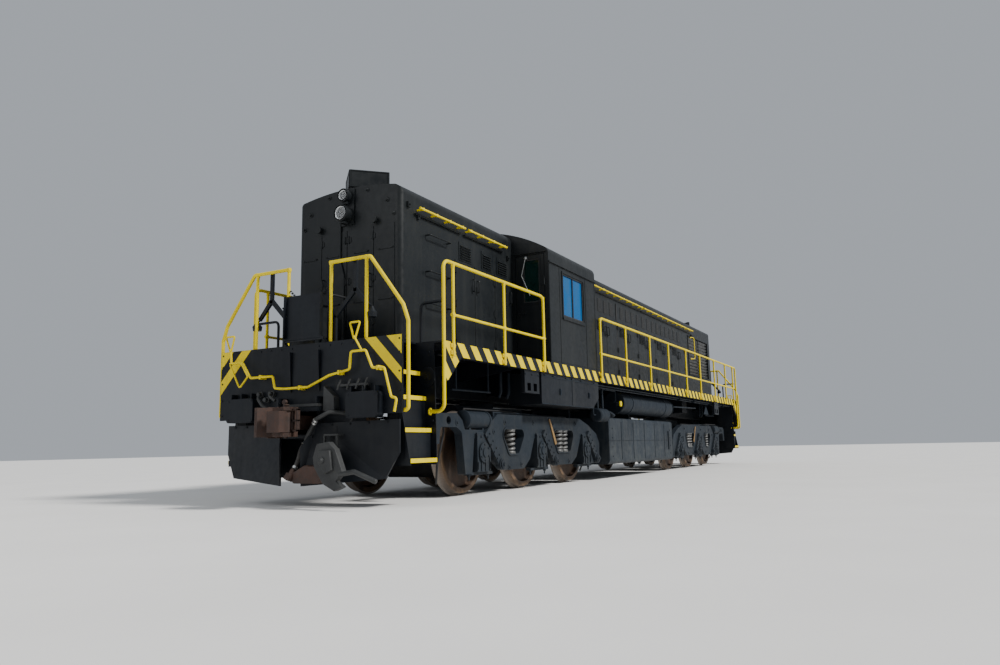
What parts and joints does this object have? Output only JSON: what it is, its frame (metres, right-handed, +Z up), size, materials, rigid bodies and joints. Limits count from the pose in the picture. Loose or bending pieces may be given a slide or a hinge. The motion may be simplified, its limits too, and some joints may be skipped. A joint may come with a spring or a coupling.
{
  "type": "diesel locomotive",
  "caption": "Six-axle diesel road switcher with a short hood, an offset cab, a long hood, side walkways, swivelling trucks and knuckle couplers.",
  "frame": {"origin": "on the floor under the wheel flanges, midway between the couplers and between the sides", "axes": "+X towards the short hood's end, +Y to the left side, +Z up"},
  "size_m": [17.48, 2.9346, 4.0629],
  "materials": {
    "body_paint": "faded charcoal black paint",
    "frame_paint": "black paint, dusty",
    "gear_paint": "dusty blue grey paint",
    "safety_yellow": "safety yellow paint",
    "cast_rust": "rusty cast steel",
    "wheel_steel": "rust on forged steel, bright tread",
    "spring_steel": "worn spring steel",
    "machinery": "oily dark grey",
    "cab_inside": "grey green",
    "hose_rubber": "matt black rubber",
    "glass": "tinted glass",
    "lens": "clear lens"
  },
  "bodies": {
    "carbody": {"underframe": "frame_paint", "cross_bearers": "frame_paint", "centre_sill": "frame_paint", "end_sheets": "frame_paint", "steps": "frame_paint", "pilots": "frame_paint", "buffer_pads": "frame_paint", "brake_hose_front": "hose_rubber", "brake_hose_rear": "hose_rubber", "hose_coupling_front": "cast_rust", "hose_coupling_rear": "cast_rust", "short_hood": "body_paint", "long_hood": "body_paint", "engine_block": "machinery", "cab_sides": "body_paint", "cab_ends": "body_paint", "cab_roof": "body_paint", "cab_glass": "glass", "cab_fittings": "cab_inside", "headlights": "body_paint", "lamp_lenses": "lens", "number_boards": "body_paint", "side_rails": "safety_yellow", "end_rails": "safety_yellow", "roof_rails": "safety_yellow", "platform_boxes": "body_paint", "cut_levers": "safety_yellow", "exhaust_stack": "machinery", "fan_grille": "body_paint", "horn": "machinery", "fuel_tank": "gear_paint", "air_reservoirs": "gear_paint", "battery_boxes": "frame_paint"},
    "coupler_front": {"coupler_front": "cast_rust"},
    "knuckle_front": {"knuckle_front": "cast_rust"},
    "coupler_rear": {"coupler_rear": "cast_rust"},
    "knuckle_rear": {"knuckle_rear": "cast_rust"},
    "drop_step_front": {"drop_step_front": "frame_paint"},
    "drop_step_rear": {"drop_step_rear": "frame_paint"},
    "cab_door_front": {"cab_door_front": "body_paint", "door_pane_front": "glass"},
    "cab_door_rear": {"cab_door_rear": "body_paint", "door_pane_rear": "glass"},
    "radiator_fan": {"radiator_fan": "machinery"},
    "truck_front": {"truck_frame_front": "gear_paint", "truck_springs_front": "spring_steel", "truck_brakes_front": "gear_paint", "truck_motors_front": "machinery"},
    "truck_rear": {"truck_frame_rear": "gear_paint", "truck_springs_rear": "spring_steel", "truck_brakes_rear": "gear_paint", "truck_motors_rear": "machinery"},
    "wheelset_1": {"wheelset_1": "wheel_steel"},
    "wheelset_2": {"wheelset_2": "wheel_steel"},
    "wheelset_3": {"wheelset_3": "wheel_steel"},
    "wheelset_4": {"wheelset_4": "wheel_steel"},
    "wheelset_5": {"wheelset_5": "wheel_steel"},
    "wheelset_6": {"wheelset_6": "wheel_steel"}
  },
  "joints": [
    {"name": "truck_front_swivel", "type": "hinge", "parent": "carbody", "child": "truck_front", "pos_m": [4.52, 0, 1.243], "axis": [0, 0, 1], "range_deg": [-4, 4]},
    {"name": "truck_rear_swivel", "type": "hinge", "parent": "carbody", "child": "truck_rear", "pos_m": [-4.52, 0, 1.243], "axis": [0, 0, 1], "range_deg": [-4, 4]},
    {"name": "coupler_front_swing", "type": "hinge", "parent": "carbody", "child": "coupler_front", "pos_m": [7.65, 0, 0.904], "axis": [0, 0, 1], "range_deg": [-7, 7]},
    {"name": "coupler_rear_swing", "type": "hinge", "parent": "carbody", "child": "coupler_rear", "pos_m": [-7.65, 0, 0.904], "axis": [0, 0, 1], "range_deg": [-7, 7]},
    {"name": "knuckle_front_open", "type": "hinge", "parent": "coupler_front", "child": "knuckle_front", "pos_m": [8.61, 0.14, 0.904], "axis": [0, 0, 1], "range_deg": [0, 45]},
    {"name": "knuckle_rear_open", "type": "hinge", "parent": "coupler_rear", "child": "knuckle_rear", "pos_m": [-8.61, -0.14, 0.904], "axis": [0, 0, 1], "range_deg": [0, 45]},
    {"name": "drop_step_front_fold", "type": "hinge", "parent": "carbody", "child": "drop_step_front", "pos_m": [8.225, 0, 1.823], "axis": [0, 1, 0], "range_deg": [0, 90]},
    {"name": "drop_step_rear_fold", "type": "hinge", "parent": "carbody", "child": "drop_step_rear", "pos_m": [-8.225, 0, 1.823], "axis": [0, -1, 0], "range_deg": [0, 90]},
    {"name": "cab_door_front_swing", "type": "hinge", "parent": "carbody", "child": "cab_door_front", "pos_m": [4.714, 1.331, 2.6], "axis": [0, 0, 1], "range_deg": [0, 90]},
    {"name": "cab_door_rear_swing", "type": "hinge", "parent": "carbody", "child": "cab_door_rear", "pos_m": [2.886, -1.331, 2.6], "axis": [0, 0, 1], "range_deg": [0, 90]},
    {"name": "radiator_fan_spin", "type": "hinge", "parent": "carbody", "child": "radiator_fan", "pos_m": [-6.15, 0, 3.693], "axis": [0, 0, 1], "continuous": true},
    {"name": "wheelset_1_roll", "type": "hinge", "parent": "truck_front", "child": "wheelset_1", "pos_m": [6.2, 0, 0.536], "axis": [0, 1, 0], "continuous": true},
    {"name": "wheelset_2_roll", "type": "hinge", "parent": "truck_front", "child": "wheelset_2", "pos_m": [4.52, 0, 0.536], "axis": [0, 1, 0], "continuous": true},
    {"name": "wheelset_3_roll", "type": "hinge", "parent": "truck_front", "child": "wheelset_3", "pos_m": [2.84, 0, 0.536], "axis": [0, 1, 0], "continuous": true},
    {"name": "wheelset_4_roll", "type": "hinge", "parent": "truck_rear", "child": "wheelset_4", "pos_m": [-2.84, 0, 0.536], "axis": [0, 1, 0], "continuous": true},
    {"name": "wheelset_5_roll", "type": "hinge", "parent": "truck_rear", "child": "wheelset_5", "pos_m": [-4.52, 0, 0.536], "axis": [0, 1, 0], "continuous": true},
    {"name": "wheelset_6_roll", "type": "hinge", "parent": "truck_rear", "child": "wheelset_6", "pos_m": [-6.2, 0, 0.536], "axis": [0, 1, 0], "continuous": true}
  ]
}
